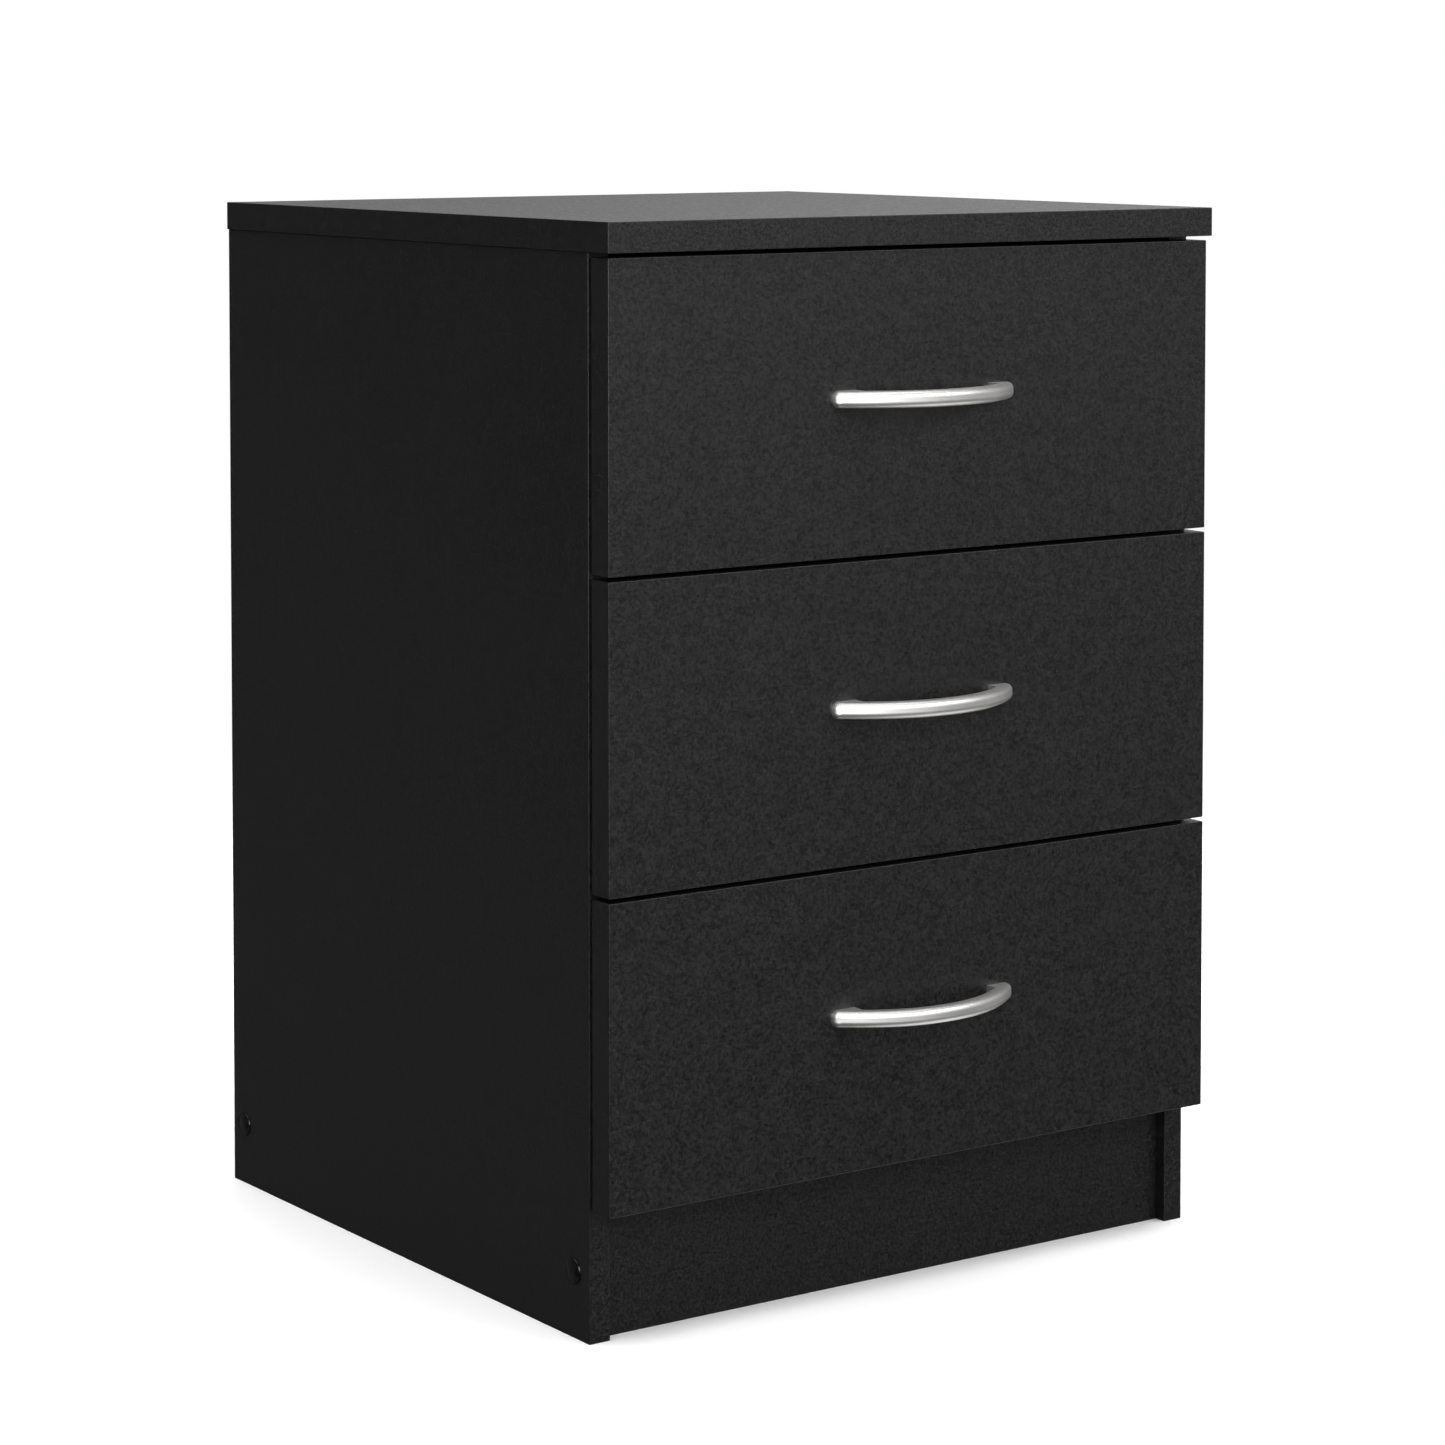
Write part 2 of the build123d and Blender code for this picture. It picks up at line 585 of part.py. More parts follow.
def drawer_front(index):
    half = FRONT_WIDTH / 2
    low = front_bottom(index)
    board = block((-half, half), (Y_FACE, Y_FRONT_BACK), (low, low + FRONT_HEIGHT), BOARD_ARRIS)
    groove_z = side_bottom(index) + DRAWER_GROOVE_HEIGHT
    groove = block((-X_DRAWER_INNER - DRAWER_GROOVE_DEPTH, X_DRAWER_INNER + DRAWER_GROOVE_DEPTH),
                   (Y_FRONT_BACK - DRAWER_GROOVE_DEPTH, Y_FRONT_BACK + PAST),
                   (groove_z, groove_z + DRAWER_BOTTOM_THICKNESS + GROOVE_PLAY))
    holes = [rod("Y", (HANDLE_HOLE_SPACING / 2, handle_height(index)),
                 HANDLE_SCREW_RADIUS + HANDLE_HOLE_PLAY, Y_FACE - PAST, Y_FRONT_BACK + PAST)]
    bolt_end = Y_FRONT_BACK - BOLT_THREAD - HOLE_SPARE
    holes += [rod("Y", place, BOLT_THREAD_RADIUS + FIT, bolt_end, Y_FRONT_BACK + PAST)
              for place in drawer_bolt_places(index)]
    return drilled(board, both_sides(holes) + [groove])


def drawer_side(index):
    """Right-hand drawer side."""
    low = side_bottom(index)
    board = block((X_DRAWER_INNER, X_DRAWER), (Y_FRONT_BACK, Y_DRAWER_BACK),
                  (low, low + DRAWER_SIDE_HEIGHT), RAW_ARRIS)
    groove_z = low + DRAWER_GROOVE_HEIGHT
    holes = [block((X_DRAWER_INNER - PAST, X_DRAWER_INNER + DRAWER_GROOVE_DEPTH),
                   (Y_FRONT_BACK - PAST, Y_DRAWER_BACK + PAST),
                   (groove_z, groove_z + DRAWER_BOTTOM_THICKNESS + GROOVE_PLAY))]
    middle = X_DRAWER - DRAWER_BOARD / 2
    for z in cam_heights(index):
        holes.append(cam_pocket(X_DRAWER_INNER, 1, Y_FRONT_BACK + CAM_DISTANCE, z))
        bolt_hole_end = Y_FRONT_BACK + CAM_DISTANCE
        holes.append(rod("Y", (middle, z), BOLT_HOLE_RADIUS, Y_FRONT_BACK, bolt_hole_end))
    holes += [back_screw(place, FIT) for place in back_screw_places(index)]
    holes += [slider_screw(place, index, FIT) for place in slider_screw_places()]
    return drilled(board, holes)


def drawer_back(index):
    low = side_bottom(index)
    bottom = low + DRAWER_GROOVE_HEIGHT + DRAWER_BOTTOM_THICKNESS
    board = block((-X_DRAWER_INNER, X_DRAWER_INNER), (Y_DRAWER_BACK - DRAWER_BOARD, Y_DRAWER_BACK),
                  (bottom, low + DRAWER_SIDE_HEIGHT), RAW_ARRIS)
    holes = [back_screw(place, FIT) for place in back_screw_places(index)]
    return drilled(board, both_sides(holes))


def drawer_bottom(index):
    low = side_bottom(index) + DRAWER_GROOVE_HEIGHT
    half = X_DRAWER_INNER + DRAWER_GROOVE_DEPTH - GROOVE_PLAY
    return block((-half, half), (Y_FRONT_BACK - DRAWER_GROOVE_DEPTH + GROOVE_PLAY, Y_DRAWER_BACK),
                 (low, low + DRAWER_BOTTOM_THICKNESS))


def back_screw(place, play=0.0):
    """Countersunk screw through the right drawer side into the drawer back."""
    point = X_DRAWER - BACK_SCREW_LENGTH
    thread_end = point + SCREW_TIP
    head = X_DRAWER - BACK_SCREW_HEAD
    radius = SCREW_RADIUS + play
    screw = rod("X", place, radius, thread_end, head)
    screw += cone("X", place, SCREW_TIP_RADIUS + play, radius, point, thread_end)
    screw += cone("X", place, radius, SCREW_HEAD_RADIUS + play, head, X_DRAWER)
    return screw if play else screw - cross_recess(X_DRAWER, -1, place)


def slider_screw(place, index, play=0.0):
    """Pan-head screw up through the drawer runner into the drawer side."""
    face = side_bottom(index) - SLIDER_STEEL
    point = face + SLIDER_STEEL + SLIDER_SCREW_LENGTH
    if play:
        return rod("Z", place, SCREW_RADIUS + play, face, point + SLIDER_HOLE_SPARE)
    shank = rod("Z", place, SCREW_RADIUS, face, point)
    return shank + rod("Z", place, SCREW_HEAD_RADIUS, face - SLIDER_SCREW_HEAD, face)


def drawer_cam_fittings(index):
    """Cams in the right drawer side, and their bolts in the drawer front."""
    middle = X_DRAWER - DRAWER_BOARD / 2
    fittings = []
    for z in cam_heights(index):
        fittings.append(cam(X_DRAWER_INNER, 1, Y_FRONT_BACK + CAM_DISTANCE, z, "Y", -1))
        fittings.append(cam_bolt("Y", (middle, z), Y_FRONT_BACK, -1))
    return fittings


# ---------------------------------------------------------------- bow handles
OUTLINE_STEPS = 12
SEARCH_STEPS = 50
SEARCH_REACH = HANDLE_SPAN + 8  # farther out than any station asked for


def bow_point(x, offset):
    """Point of the bow's plan curve at x, moved by offset along its normal.

    The second coordinate is the height off the drawer front.
    """
    ratio = abs(x) / HANDLE_SPAN
    rise = HANDLE_RISE * (1 - ratio ** HANDLE_POWER)
    slope = -math.copysign(HANDLE_RISE * HANDLE_POWER / HANDLE_SPAN * ratio ** (HANDLE_POWER - 1), x)
    length = math.hypot(1, slope)
    return (x - offset * slope / length, rise + offset / length)


def bow_station(x_wanted, offset):
    """Station on the centre line whose offset point lies at x_wanted."""
    low, high = 0.0, SEARCH_REACH
    for _ in range(SEARCH_STEPS):
        middle = (low + high) / 2
        if bow_point(middle, offset)[0] < x_wanted:
            low = middle
        else:
            high = middle
    return low


def bow_curve(x_end, offset):
    """Smooth curve at an offset from the centre line, from -x_end to x_end."""
    station = bow_station(x_end, offset)
    places = [station * (2 * step / OUTLINE_STEPS - 1) for step in range(OUTLINE_STEPS + 1)]
    return [bow_point(place, offset) for place in places]


def handle(index):
    """Bow handle: a flat oval bar whose two ends widen into feet on the drawer front."""
    outer = bow_curve(HANDLE_FOOT_OUTER, HANDLE_HALF_THICKNESS)
    inner = bow_curve(HANDLE_FOOT_INNER, -HANDLE_HALF_THICKNESS)
    flipped_outer = [(x, -y) for x, y in outer]
    flipped_inner = [(x, -y) for x, y in inner]
    outline = Curve() + [
        Spline(*flipped_outer),
        Line(flipped_outer[-1], (HANDLE_FOOT_OUTER, 0)),
        Line((HANDLE_FOOT_OUTER, 0), (HANDLE_FOOT_INNER, 0)),
        Line((HANDLE_FOOT_INNER, 0), flipped_inner[-1]),
        Spline(*flipped_inner),
        Line(flipped_inner[0], (-HANDLE_FOOT_INNER, 0)),
        Line((-HANDLE_FOOT_INNER, 0), (-HANDLE_FOOT_OUTER, 0)),
        Line((-HANDLE_FOOT_OUTER, 0), flipped_outer[0]),
    ]
    bar = extrude(make_face(outline), HANDLE_HALF_HEIGHT, both=True)
    return Pos(0, Y_FACE, handle_height(index)) * round_bar(bar)


END_ROUND = 3.6               # corners of the feet, seen from the front
OUTER_ROUND = 3.3
INNER_ROUND = 2.4


def round_bar(bar):
    """Round the feet's corners and the bar's long edges, so that its section is a flat oval."""
    foot_corners = [edge for edge in bar.edges().filter_by(Axis.Y) if abs(edge.center().X) > HANDLE_SPAN]
    bar = fillet(foot_corners, END_ROUND)
    outer_face = bar.faces().filter_by(GeomType.EXTRUSION).sort_by(Axis.Y)[0]
    bar = fillet(outer_face.edges(), OUTER_ROUND)
    bow_middle = -HANDLE_RISE + HANDLE_HALF_THICKNESS / 2
    inner = [edge for edge in bar.edges().filter_by(GeomType.BSPLINE)
             if edge.length > HANDLE_FOOT_INNER and edge.center().Y > bow_middle
             and abs(edge.center().Z) > HANDLE_HALF_HEIGHT - BOARD_ARRIS]
    return fillet(inner, INNER_ROUND)


def handle_screw(x, index, play=0.0):
    """Machine screw from inside the drawer, through the front, into a handle's foot."""
    at = (x, handle_height(index))
    shank = rod("Y", at, HANDLE_SCREW_RADIUS + play, Y_FACE - HANDLE_SCREW_GRIP - play, Y_FRONT_BACK)
    if play:
        return shank
    head = rod("Y", at, HANDLE_SCREW_HEAD_RADIUS, Y_FRONT_BACK, Y_FRONT_BACK + HANDLE_SCREW_HEAD)
    head = fillet(head.edges().sort_by(Axis.Y)[-1:], HANDLE_SCREW_ROUND)
    length, width, depth = HANDLE_SCREW_CROSS
    recess = Pos(x, Y_FRONT_BACK + HANDLE_SCREW_HEAD - depth / 2, at[1])
    return shank + head - recess * (Box(length, depth, width) + Box(width, depth, length))


# ---------------------------------------------------------------- write every node
def write_carcass():
    write("top_panel", [top_panel()])
    panel = side_panel()
    write("right_side_panel", [panel])
    write("left_side_panel", mirrored([panel]))
    write("plinth", [cross_board(Y_PLINTH)])
    write("rear_rail", [drilled(cross_board(Y_RAIL), [nail(place, FIT) for place in nail_places()])])
    write("back_panel", [back_panel()])
    write("back_panel_nails", [nail(place) for place in nail_places()])
    write("confirmat_screws", both_sides([confirmat(y) for y in LOW_SCREW_DEPTHS]))
    write("screw_caps", both_sides([screw_cap(y) for y in LOW_SCREW_DEPTHS]))
    write("carcass_dowels", both_sides(top_dowels() + low_dowels()))
    cams = [cam(X_INNER, 1, y, Z_TOP - CAM_DISTANCE, "Z", 1) for _, y in top_cam_places()]
    write("top_cams", both_sides(cams))
    write("top_cam_bolts", both_sides([cam_bolt("Z", place, Z_TOP, 1) for place in top_cam_places()]))
    indices = range(len(DRAWERS))
    for side in SIDES:
        write(f"{side}_cabinet_runners", handed([cabinet_runner(index) for index in indices], side))
    screws = [runner_screw(place) for index in indices for place in runner_screw_places(index)]
    write("cabinet_runner_screws", both_sides(screws))


def write_drawer(index, name):
    write(f"{name}_drawer_front", [drawer_front(index)])
    write(f"{name}_drawer_back", [drawer_back(index)])
    write(f"{name}_drawer_bottom", [drawer_bottom(index)])
    screws = [handle_screw(x, index) for x in (-HANDLE_HOLE_SPACING / 2, HANDLE_HOLE_SPACING / 2)]
    holes = [handle_screw(x, index, FIT) for x in (-HANDLE_HOLE_SPACING / 2, HANDLE_HOLE_SPACING / 2)]
    write(f"{name}_handle", [drilled(handle(index), holes)])
    write(f"{name}_handle_screws", screws)
    write(f"{name}_drawer_cam_fittings", both_sides(drawer_cam_fittings(index)))
    box_screws = [back_screw(place) for place in back_screw_places(index)]
    box_screws += [slider_screw(place, index) for place in slider_screw_places()]
    write(f"{name}_drawer_screws", both_sides(box_screws))
    for side in SIDES:
        write(f"{name}_drawer_{side}_side", handed([drawer_side(index)], side))
        write(f"{name}_drawer_{side}_runner", handed([drawer_runner(index)], side))
        write(f"{name}_drawer_{side}_roller", handed([drawer_roller(index)], side))
        write(f"{name}_cabinet_{side}_roller", handed([cabinet_roller(index)], side))


os.makedirs("parts", exist_ok=True)
write_carcass()
for drawer_index, drawer_name in enumerate(DRAWERS):
    write_drawer(drawer_index, drawer_name)
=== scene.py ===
import json
import math

import bpy
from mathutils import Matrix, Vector

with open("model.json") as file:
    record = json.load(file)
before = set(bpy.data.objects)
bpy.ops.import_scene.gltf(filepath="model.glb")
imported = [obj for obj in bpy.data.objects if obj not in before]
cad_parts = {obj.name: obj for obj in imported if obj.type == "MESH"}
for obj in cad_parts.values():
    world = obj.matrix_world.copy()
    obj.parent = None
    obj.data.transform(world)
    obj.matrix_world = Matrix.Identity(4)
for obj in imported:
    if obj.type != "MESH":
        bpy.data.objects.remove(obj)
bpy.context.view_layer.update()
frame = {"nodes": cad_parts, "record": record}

MM = 0.001
SCREEN_MESH = 1.6  # millimetres from wire to wire of the screen that hardboard is pressed on
nodes = frame["nodes"]


# ---------------------------------------------------------------- small tools
def linear(hex_colour):
    """sRGB hex to the linear RGBA that shader sockets take."""
    channels = [int(hex_colour[i:i + 2], 16) / 255 for i in (1, 3, 5)]
    return [c / 12.92 if c <= 0.04045 else ((c + 0.055) / 1.055) ** 2.4 for c in channels] + [1.0]


def add(tree, kind, settings=None, **inputs):
    """Add a node, set its properties, and set or link its inputs.

    An input is named by its socket with underscores for spaces, or by its number as i0, i1 and so on.
    """
    made = tree.nodes.new(kind)
    for name, value in (settings or {}).items():
        setattr(made, name, value)
    for name, value in inputs.items():
        numbered = name[0] == "i" and name[1:].isdigit()
        socket = made.inputs[int(name[1:]) if numbered else name.replace("_", " ")]
        if isinstance(value, bpy.types.NodeSocket):
            tree.links.new(value, socket)
        else:
            socket.default_value = value
    return made


def blank_material(name):
    """An empty node tree, with the object's own coordinates in metres."""
    material = bpy.data.materials.new(name)
    material.use_nodes = True
    tree = material.node_tree
    tree.nodes.clear()
    place = add(tree, "ShaderNodeTexCoord").outputs["Object"]
    return material, tree, place


def finish_material(tree, shader):
    """Make this shader what the material shows."""
    add(tree, "ShaderNodeOutputMaterial", Surface=shader.outputs[0])


def per_metre(size_mm):
    """Texture scale that makes one feature this many millimetres across."""
    return 1 / (size_mm * MM)


# ---------------------------------------------------------------- materials
def black_foil_board():
    """Chipboard faced and edged with black decor foil, pressed over a fine pearl plate.

    The foil is almost black and satin, so it shows what it mirrors at a low angle as a soft grey
    sheen, and the pearl grain breaks that sheen into a fine speckle. The real grain, about 0.4 mm,
    is drawn at 1.6 mm because it is too fine to show.
    """
    material, tree, place = blank_material("black_foil_board")
    pearl = add(tree, "ShaderNodeTexNoise", Vector=place, Scale=per_metre(1.6), Detail=2.0, Roughness=0.7)
    mottle = add(tree, "ShaderNodeTexNoise", Vector=place, Scale=per_metre(7), Detail=2.0, Roughness=0.6)
    cloud = add(tree, "ShaderNodeTexNoise", Vector=place, Scale=per_metre(90), Detail=3.0, Roughness=0.5)
    grain = add(tree, "ShaderNodeMath", {"operation": "MULTIPLY_ADD"}, i0=mottle.outputs[0], i1=0.2,
                i2=pearl.outputs[0])
    speck = add(tree, "ShaderNodeMapRange", Value=grain.outputs[0], From_Min=0.4, From_Max=0.8,
                To_Min=0.0, To_Max=0.9)
    depth = add(tree, "ShaderNodeMath", {"operation": "MULTIPLY_ADD"}, i0=cloud.outputs[0], i1=0.1,
                i2=speck.outputs[0])
    colour = add(tree, "ShaderNodeMix", {"data_type": "RGBA"}, i0=depth.outputs[0],
                 i6=linear("#070708"), i7=linear("#1c1c1c"))
    rough = add(tree, "ShaderNodeMapRange", Value=grain.outputs[0], From_Min=0.4, From_Max=0.8,
                To_Min=0.30, To_Max=0.50)
    bump = add(tree, "ShaderNodeBump", Strength=0.8, Distance=0.14 * MM, Height=grain.outputs[0])
    shader = add(tree, "ShaderNodeBsdfPrincipled", Base_Color=colour.outputs[2], Roughness=rough.outputs[0],
                 IOR=1.45, Specular_IOR_Level=0.5, Normal=bump.outputs[0])
    finish_material(tree, shader)
    return material


def grey_foil_board():
    """Drawer boards wrapped in pale grey paper foil: matt, with a faint fibre cloud."""
    material, tree, place = blank_material("grey_foil_board")
    fibre = add(tree, "ShaderNodeTexNoise", Vector=place, Scale=per_metre(1.2), Detail=3.0, Roughness=0.6)
    cloud = add(tree, "ShaderNodeTexNoise", Vector=place, Scale=per_metre(40), Detail=3.0)
    both = add(tree, "ShaderNodeMath", {"operation": "MULTIPLY"}, i0=fibre.outputs[0], i1=cloud.outputs[0])
    shade = add(tree, "ShaderNodeMapRange", Value=both.outputs[0], From_Min=0.15, From_Max=0.38)
    colour = add(tree, "ShaderNodeMix", {"data_type": "RGBA"}, i0=shade.outputs[0],
                 i6=linear("#a9a8a4"), i7=linear("#b7b6b2"))
    rough = add(tree, "ShaderNodeMapRange", Value=fibre.outputs[0], To_Min=0.52, To_Max=0.66)
    bump = add(tree, "ShaderNodeBump", Strength=0.2, Distance=0.04 * MM, Height=fibre.outputs[0])
    shader = add(tree, "ShaderNodeBsdfPrincipled", Base_Color=colour.outputs[2], Roughness=rough.outputs[0],
                 IOR=1.47, Normal=bump.outputs[0])
    finish_material(tree, shader)
    return material


def grey_lacquered_hardboard():
    """Drawer bottoms: hardboard under one coat of grey lacquer, smooth with a slight orange peel."""
    material, tree, place = blank_material("grey_lacquered_hardboard")
    peel = add(tree, "ShaderNodeTexNoise", Vector=place, Scale=per_metre(3), Detail=2.0)
    cloud = add(tree, "ShaderNodeTexNoise", Vector=place, Scale=per_metre(70), Detail=3.0)
    colour = add(tree, "ShaderNodeMix", {"data_type": "RGBA"}, i0=cloud.outputs[0],
                 i6=linear("#a3a19b"), i7=linear("#b1afa9"))
    rough = add(tree, "ShaderNodeMapRange", Value=peel.outputs[0], To_Min=0.34, To_Max=0.46)
    bump = add(tree, "ShaderNodeBump", Strength=0.2, Distance=0.05 * MM, Height=peel.outputs[0])
    shader = add(tree, "ShaderNodeBsdfPrincipled", Base_Color=colour.outputs[2], Roughness=rough.outputs[0],
                 IOR=1.5, Normal=bump.outputs[0])
    finish_material(tree, shader)
    return material


def back_hardboard():
    """Back panel: hardboard, raw and brown behind with the weave of the press screen, dark lacquer inside.

    The bare side is matt and fibrous, and the lacquered side is smoother and a little glossier.
    """
    material, tree, place = blank_material("back_hardboard")
    axes = add(tree, "ShaderNodeSeparateXYZ", Vector=place)
    wires = []
    for axis in ("X", "Z"):
        angle = add(tree, "ShaderNodeMath", {"operation": "MULTIPLY"}, i0=axes.outputs[axis],
                    i1=per_metre(SCREEN_MESH) * math.tau)
        wires.append(add(tree, "ShaderNodeMath", {"operation": "SINE"}, i0=angle.outputs[0]).outputs[0])
    weave = add(tree, "ShaderNodeMath", {"operation": "MULTIPLY"}, i0=wires[0], i1=wires[1])
    fibre = add(tree, "ShaderNodeTexNoise", Vector=place, Scale=per_metre(2.5), Detail=5.0, Roughness=0.7)
    raw = add(tree, "ShaderNodeMix", {"data_type": "RGBA"}, i0=fibre.outputs[0],
              i6=linear("#5b4431"), i7=linear("#8a6b4c"))
    facing = add(tree, "ShaderNodeSeparateXYZ", Vector=add(tree, "ShaderNodeNewGeometry").outputs["Normal"])
    behind = add(tree, "ShaderNodeMapRange", Value=facing.outputs["Y"], From_Min=0.4, From_Max=0.6)
    colour = add(tree, "ShaderNodeMix", {"data_type": "RGBA"}, i0=behind.outputs[0],
                 i6=linear("#222223"), i7=raw.outputs[2])
    rough = add(tree, "ShaderNodeMapRange", Value=behind.outputs[0], To_Min=0.45, To_Max=0.8)
    height = add(tree, "ShaderNodeMath", {"operation": "MULTIPLY_ADD"}, i0=weave.outputs[0],
                 i1=0.5, i2=fibre.outputs[0])
    bump = add(tree, "ShaderNodeBump", Strength=0.4, Distance=0.1 * MM, Height=height.outputs[0])
    shader = add(tree, "ShaderNodeBsdfPrincipled", Base_Color=colour.outputs[2], Roughness=rough.outputs[0],
                 Normal=bump.outputs[0])
    finish_material(tree, shader)
    return material


def satin_nickel():
    """Die-cast zinc, tumbled smooth and satin nickel plated: a soft, slightly warm highlight."""
    material, tree, place = blank_material("satin_nickel")
    blast = add(tree, "ShaderNodeTexNoise", Vector=place, Scale=per_metre(0.5), Detail=3.0, Roughness=0.6)
    cloud = add(tree, "ShaderNodeTexNoise", Vector=place, Scale=per_metre(12), Detail=2.0)
    colour = add(tree, "ShaderNodeMix", {"data_type": "RGBA"}, i0=cloud.outputs[0],
                 i6=linear("#e0dfdd"), i7=linear("#e9e8e7"))
    rough = add(tree, "ShaderNodeMapRange", Value=blast.outputs[0], To_Min=0.40, To_Max=0.50)
    bump = add(tree, "ShaderNodeBump", Strength=0.15, Distance=0.01 * MM, Height=blast.outputs[0])
    shader = add(tree, "ShaderNodeBsdfPrincipled", Base_Color=colour.outputs[2], Metallic=1.0,
                 Roughness=rough.outputs[0], Normal=bump.outputs[0])
    finish_material(tree, shader)
    return material


def zinc_plated_steel():
    """Screws, nails and bolts: bright zinc over steel, with faint blue and yellow passivation."""
    material, tree, place = blank_material("zinc_plated_steel")
    stain = add(tree, "ShaderNodeTexNoise", Vector=place, Scale=per_metre(5), Detail=3.0)
    fine = add(tree, "ShaderNodeTexNoise", Vector=place, Scale=per_metre(0.4), Detail=2.0)
    colour = add(tree, "ShaderNodeMix", {"data_type": "RGBA"}, i0=stain.outputs[0],
                 i6=linear("#b4bac4"), i7=linear("#cfcabb"))
    rough = add(tree, "ShaderNodeMapRange", Value=fine.outputs[0], To_Min=0.22, To_Max=0.36)
    bump = add(tree, "ShaderNodeBump", Strength=0.2, Distance=0.02 * MM, Height=fine.outputs[0])
    shader = add(tree, "ShaderNodeBsdfPrincipled", Base_Color=colour.outputs[2], Metallic=1.0,
                 Roughness=rough.outputs[0], Normal=bump.outputs[0])
    finish_material(tree, shader)
    return material


def white_powder_coat():
    """Runners: rolled steel under white epoxy powder, with its fine orange peel."""
    material, tree, place = blank_material("white_powder_coat")
    peel = add(tree, "ShaderNodeTexNoise", Vector=place, Scale=per_metre(1.1), Detail=2.0)
    cloud = add(tree, "ShaderNodeTexNoise", Vector=place, Scale=per_metre(25), Detail=2.0)
    colour = add(tree, "ShaderNodeMix", {"data_type": "RGBA"}, i0=cloud.outputs[0],
                 i6=linear("#deddd8"), i7=linear("#e8e7e3"))
    rough = add(tree, "ShaderNodeMapRange", Value=peel.outputs[0], To_Min=0.28, To_Max=0.4)
    bump = add(tree, "ShaderNodeBump", Strength=0.25, Distance=0.04 * MM, Height=peel.outputs[0])
    shader = add(tree, "ShaderNodeBsdfPrincipled", Base_Color=colour.outputs[2], Roughness=rough.outputs[0],
                 IOR=1.5, Normal=bump.outputs[0])
    finish_material(tree, shader)
    return material


def natural_nylon():
    """Rollers: natural white nylon, moulded, slightly waxy and translucent."""
    material, tree, place = blank_material("natural_nylon")
    flow = add(tree, "ShaderNodeTexNoise", Vector=place, Scale=per_metre(4), Detail=2.0)
    fine = add(tree, "ShaderNodeTexNoise", Vector=place, Scale=per_metre(0.5), Detail=2.0)
    colour = add(tree, "ShaderNodeMix", {"data_type": "RGBA"}, i0=flow.outputs[0],
                 i6=linear("#dcd9cd"), i7=linear("#e9e7de"))
    rough = add(tree, "ShaderNodeMapRange", Value=fine.outputs[0], To_Min=0.38, To_Max=0.5)
    bump = add(tree, "ShaderNodeBump", Strength=0.2, Distance=0.03 * MM, Height=fine.outputs[0])
    shader = add(tree, "ShaderNodeBsdfPrincipled", Base_Color=colour.outputs[2], Roughness=rough.outputs[0],
                 IOR=1.53, Subsurface_Weight=0.15, Subsurface_Scale=1.5 * MM, Normal=bump.outputs[0])
    finish_material(tree, shader)
    return material


def raw_zinc_casting():
    """Cams: zinc die castings left as cast, grey and dull with a pitted skin."""
    material, tree, place = blank_material("raw_zinc_casting")
    skin = add(tree, "ShaderNodeTexNoise", Vector=place, Scale=per_metre(0.8), Detail=4.0, Roughness=0.65)
    colour = add(tree, "ShaderNodeMix", {"data_type": "RGBA"}, i0=skin.outputs[0],
                 i6=linear("#8d9093"), i7=linear("#b3b6b8"))
    rough = add(tree, "ShaderNodeMapRange", Value=skin.outputs[0], To_Min=0.4, To_Max=0.62)
    bump = add(tree, "ShaderNodeBump", Strength=0.4, Distance=0.06 * MM, Height=skin.outputs[0])
    shader = add(tree, "ShaderNodeBsdfPrincipled", Base_Color=colour.outputs[2], Metallic=1.0,
                 Roughness=rough.outputs[0], Normal=bump.outputs[0])
    finish_material(tree, shader)
    return material


def black_polyethylene():
    """Screw caps: black polyethylene from a polished mould, glossier than the board."""
    material, tree, place = blank_material("black_polyethylene")
    flow = add(tree, "ShaderNodeTexNoise", Vector=place, Scale=per_metre(2.5), Detail=2.0)
    colour = add(tree, "ShaderNodeMix", {"data_type": "RGBA"}, i0=flow.outputs[0],
                 i6=linear("#0b0b0c"), i7=linear("#111112"))
    rough = add(tree, "ShaderNodeMapRange", Value=flow.outputs[0], To_Min=0.12, To_Max=0.18)
    bump = add(tree, "ShaderNodeBump", Strength=0.1, Distance=0.02 * MM, Height=flow.outputs[0])
    shader = add(tree, "ShaderNodeBsdfPrincipled", Base_Color=colour.outputs[2], Roughness=rough.outputs[0],
                 IOR=1.51, Normal=bump.outputs[0])
    finish_material(tree, shader)
    return material


def turned_beech():
    """Dowels: pale beech with short brown flecks along the grain."""
    material, tree, place = blank_material("turned_beech")
    fleck = add(tree, "ShaderNodeTexNoise", Vector=place, Scale=per_metre(1.2), Detail=3.0)
    colour = add(tree, "ShaderNodeMix", {"data_type": "RGBA"}, i0=fleck.outputs[0],
                 i6=linear("#c79c6c"), i7=linear("#dcb98c"))
    rough = add(tree, "ShaderNodeMapRange", Value=fleck.outputs[0], To_Min=0.5, To_Max=0.65)
    bump = add(tree, "ShaderNodeBump", Strength=0.3, Distance=0.05 * MM, Height=fleck.outputs[0])
    shader = add(tree, "ShaderNodeBsdfPrincipled", Base_Color=colour.outputs[2], Roughness=rough.outputs[0],
                 Normal=bump.outputs[0])
    finish_material(tree, shader)
    return material


FINISHES = {
    "black_board": black_foil_board,
    "drawer_board": grey_foil_board,
    "drawer_base": grey_lacquered_hardboard,
    "hardboard": back_hardboard,
    "handle_metal": satin_nickel,
    "zinc_steel": zinc_plated_steel,
    "runner_steel": white_powder_coat,
    "roller_nylon": natural_nylon,
    "cam_zinc": raw_zinc_casting,
    "cap_plastic": black_polyethylene,
    "dowel_beech": turned_beech,
}


def dress_nodes():
    """Give every node the finish of its material slot."""
    made = {slot: maker() for slot, maker in FINISHES.items()}
    for part in frame["record"]["subparts"]:
        piece = nodes[part["node"]]
        piece.data.materials.clear()
        piece.data.materials.append(made[part["material_slot"]])


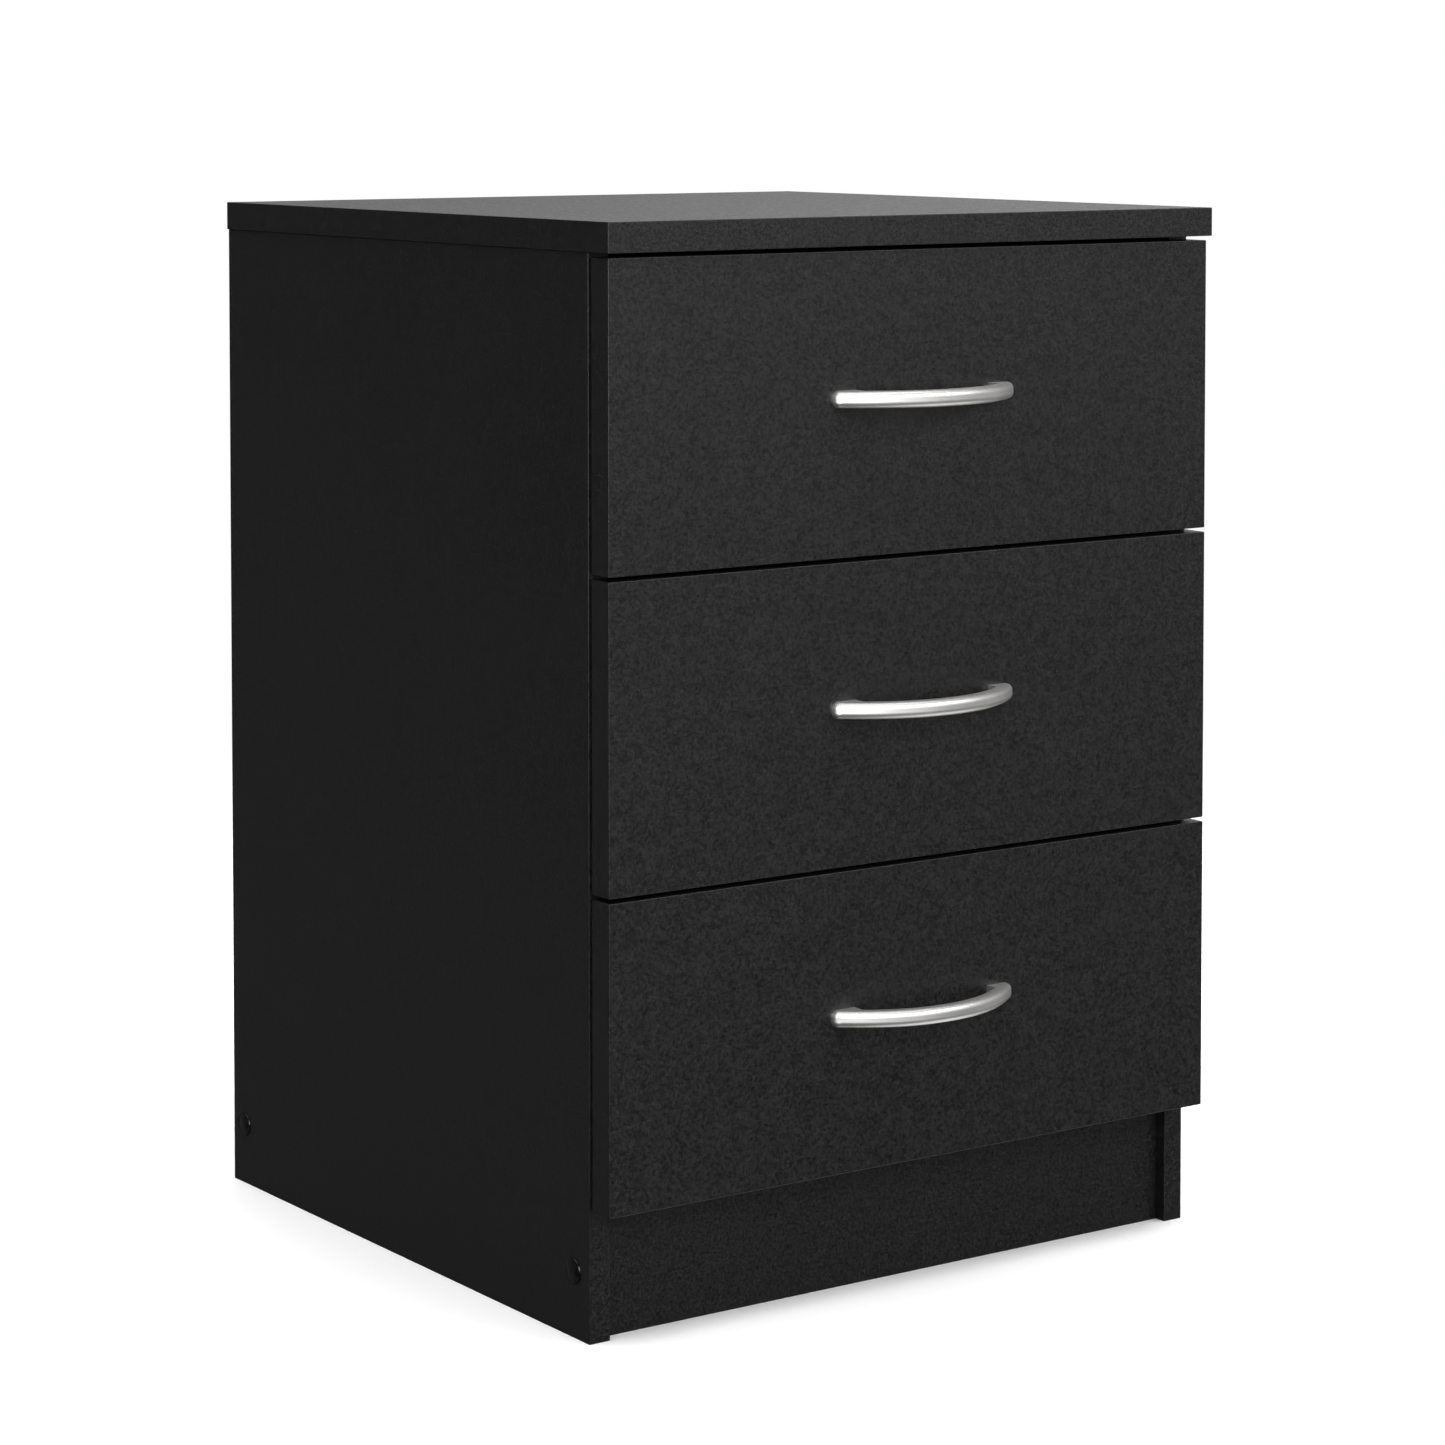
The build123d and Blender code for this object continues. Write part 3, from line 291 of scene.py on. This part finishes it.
# ---------------------------------------------------------------- studio
# metres: what the softboxes aim at, and how far the floor goes each way
LOOK_AT = Vector((0.0, 0.0, 0.27))
FLOOR_REACH = 30.0
# metres from the cabinet's middle, between which the floor turns to plain white
FLOOR_LIT_FROM = 0.7
FLOOR_LIT_BY = 1.8
FLOOR_CLOUD = 500  # millimetres across one faint cloud in the floor
ROOM_LIGHT = 0.003  # strength of the sky between the glows
# where each glow lies, the angles within which it is full and by which it is gone, and its strength
GLOWS = {
    "front_high": ((0.0, -1.0, 0.35), 10, 35, 1.8),
    "front_right": ((0.57, -0.82, 0.25), 8, 32, 0.4),
    "under_right": ((0.45, -0.1, -0.89), 12, 36, 1.3),
    "back_left": ((-0.57, 0.82, 0.10), 12, 45, 0.07),
    "back_left_low": ((-0.57, 0.82, -0.55), 5, 35, 0.07),
    "back_right": ((0.50, 0.86, 0.12), 8, 30, 0.6),
    "right_behind": ((0.85, 0.52, 0.12), 8, 30, 0.55),
    "right": ((1.0, -0.1, 0.2), 10, 45, 0.4),
}


def softbox(name, place, size, watts):
    """A rectangular area light, aimed at the cabinet and hidden from the camera."""
    light = bpy.data.lights.new(name, "AREA")
    light.shape = "RECTANGLE"
    light.size, light.size_y = size
    light.energy = watts
    holder = bpy.data.objects.new(name, light)
    bpy.context.scene.collection.objects.link(holder)
    holder.location = place
    holder.rotation_euler = (LOOK_AT - Vector(place)).to_track_quat("-Z", "Y").to_euler()
    holder.visible_camera = False
    return holder


def glow(tree, direction, toward, full_within, gone_by, strength):
    """A soft patch of studio light in the sky, round the way it lies; the two angles are in degrees."""
    facing = add(tree, "ShaderNodeVectorMath", {"operation": "DOT_PRODUCT"}, i0=direction,
                 i1=Vector(toward).normalized())
    patch = add(tree, "ShaderNodeMapRange", {"interpolation_type": "SMOOTHSTEP"},
                Value=facing.outputs["Value"], From_Min=math.cos(math.radians(gone_by)),
                From_Max=math.cos(math.radians(full_within)), To_Min=0.0, To_Max=strength)
    return patch.outputs[0]


def build_world():
    """White backdrop for the camera, and for everything else a dim room with the soft glows."""
    world = bpy.data.worlds.new("studio")
    bpy.context.scene.world = world
    world.use_nodes = True
    tree = world.node_tree
    tree.nodes.clear()
    direction = add(tree, "ShaderNodeTexCoord").outputs["Generated"]
    light = ROOM_LIGHT
    for patch in GLOWS.values():
        light = add(tree, "ShaderNodeMath", {"operation": "ADD"}, i0=light,
                    i1=glow(tree, direction, *patch)).outputs[0]
    room = add(tree, "ShaderNodeBackground", Color=(1, 1, 1, 1), Strength=light)
    backdrop = add(tree, "ShaderNodeBackground", Color=(1, 1, 1, 1), Strength=1.0)
    seen = add(tree, "ShaderNodeLightPath").outputs["Is Camera Ray"]
    both = add(tree, "ShaderNodeMixShader", i0=seen, i1=room.outputs[0], i2=backdrop.outputs[0])
    add(tree, "ShaderNodeOutputWorld", Surface=both.outputs[0])


def pale_floor():
    """Matt pale paper sweep with a faint cloud, turning to plain lit white away from the cabinet."""
    material, tree, place = blank_material("pale_floor")
    cloud = add(tree, "ShaderNodeTexNoise", Vector=place, Scale=per_metre(FLOOR_CLOUD), Detail=2.0)
    colour = add(tree, "ShaderNodeMix", {"data_type": "RGBA"}, i0=cloud.outputs[0],
                 i6=linear("#f4f4f4"), i7=linear("#f8f8f8"))
    matt = add(tree, "ShaderNodeBsdfDiffuse", Color=colour.outputs[2])
    lit = add(tree, "ShaderNodeEmission", Color=(1, 1, 1, 1), Strength=1.0)
    away = add(tree, "ShaderNodeVectorMath", {"operation": "LENGTH"}, i0=place)
    far = add(tree, "ShaderNodeMapRange", {"interpolation_type": "SMOOTHSTEP"},
              Value=away.outputs["Value"], From_Min=FLOOR_LIT_FROM, From_Max=FLOOR_LIT_BY)
    seen = add(tree, "ShaderNodeLightPath").outputs["Is Camera Ray"]
    share = add(tree, "ShaderNodeMath", {"operation": "MULTIPLY"}, i0=far.outputs[0], i1=seen)
    both = add(tree, "ShaderNodeMixShader", i0=share.outputs[0], i1=matt.outputs[0], i2=lit.outputs[0])
    finish_material(tree, both)
    return material


def build_floor():
    """One flat sheet. Gloss doesn't see it, so the black boards mirror only the studio's lights."""
    corners = [(x * FLOOR_REACH, y * FLOOR_REACH, 0) for x, y in ((-1, -1), (1, -1), (1, 1), (-1, 1))]
    mesh = bpy.data.meshes.new("studio_floor")
    mesh.from_pydata(corners, [], [(0, 1, 2, 3)])
    floor = bpy.data.objects.new("studio_floor", mesh)
    bpy.context.scene.collection.objects.link(floor)
    floor.visible_glossy = False
    floor.data.materials.append(pale_floor())


def build_lights():
    """A wide wash and a box overhead, a key at the front right, and a strip that glints on arrises."""
    wash = softbox("overhead_wash", place=(0.0, 0.0, 2.8), size=(3.4, 3.4), watts=150)
    wash.visible_glossy = False
    softbox("overhead", place=(0.0, 0.2, 2.8), size=(3.0, 3.0), watts=55)
    softbox("front_right", place=(1.8, -2.4, 2.0), size=(1.4, 1.4), watts=26)
    strip = softbox("edge_strip", place=(-1.5, -1.9, 1.0), size=(0.3, 1.2), watts=60)
    strip.visible_diffuse = False


def build_camera():
    """A long lens from the front left, a little above the height of the top."""
    data = bpy.data.cameras.new("camera")
    data.lens = 99.9
    data.sensor_width = 36.0
    data.shift_y = -0.3026
    data.clip_start = 0.05
    camera = bpy.data.objects.new("camera", data)
    bpy.context.scene.collection.objects.link(camera)
    camera.location = (-1.2349, -1.7651, 0.6120)
    camera.rotation_euler = (math.radians(87.0755), 0, math.radians(-34.997))
    bpy.context.scene.camera = camera


def set_colour_management():
    view = bpy.context.scene.view_settings
    view.view_transform = "Standard"
    view.look = "None"
    view.exposure = 0.0
    view.gamma = 1.0


dress_nodes()
build_world()
build_floor()
build_lights()
build_camera()
set_colour_management()
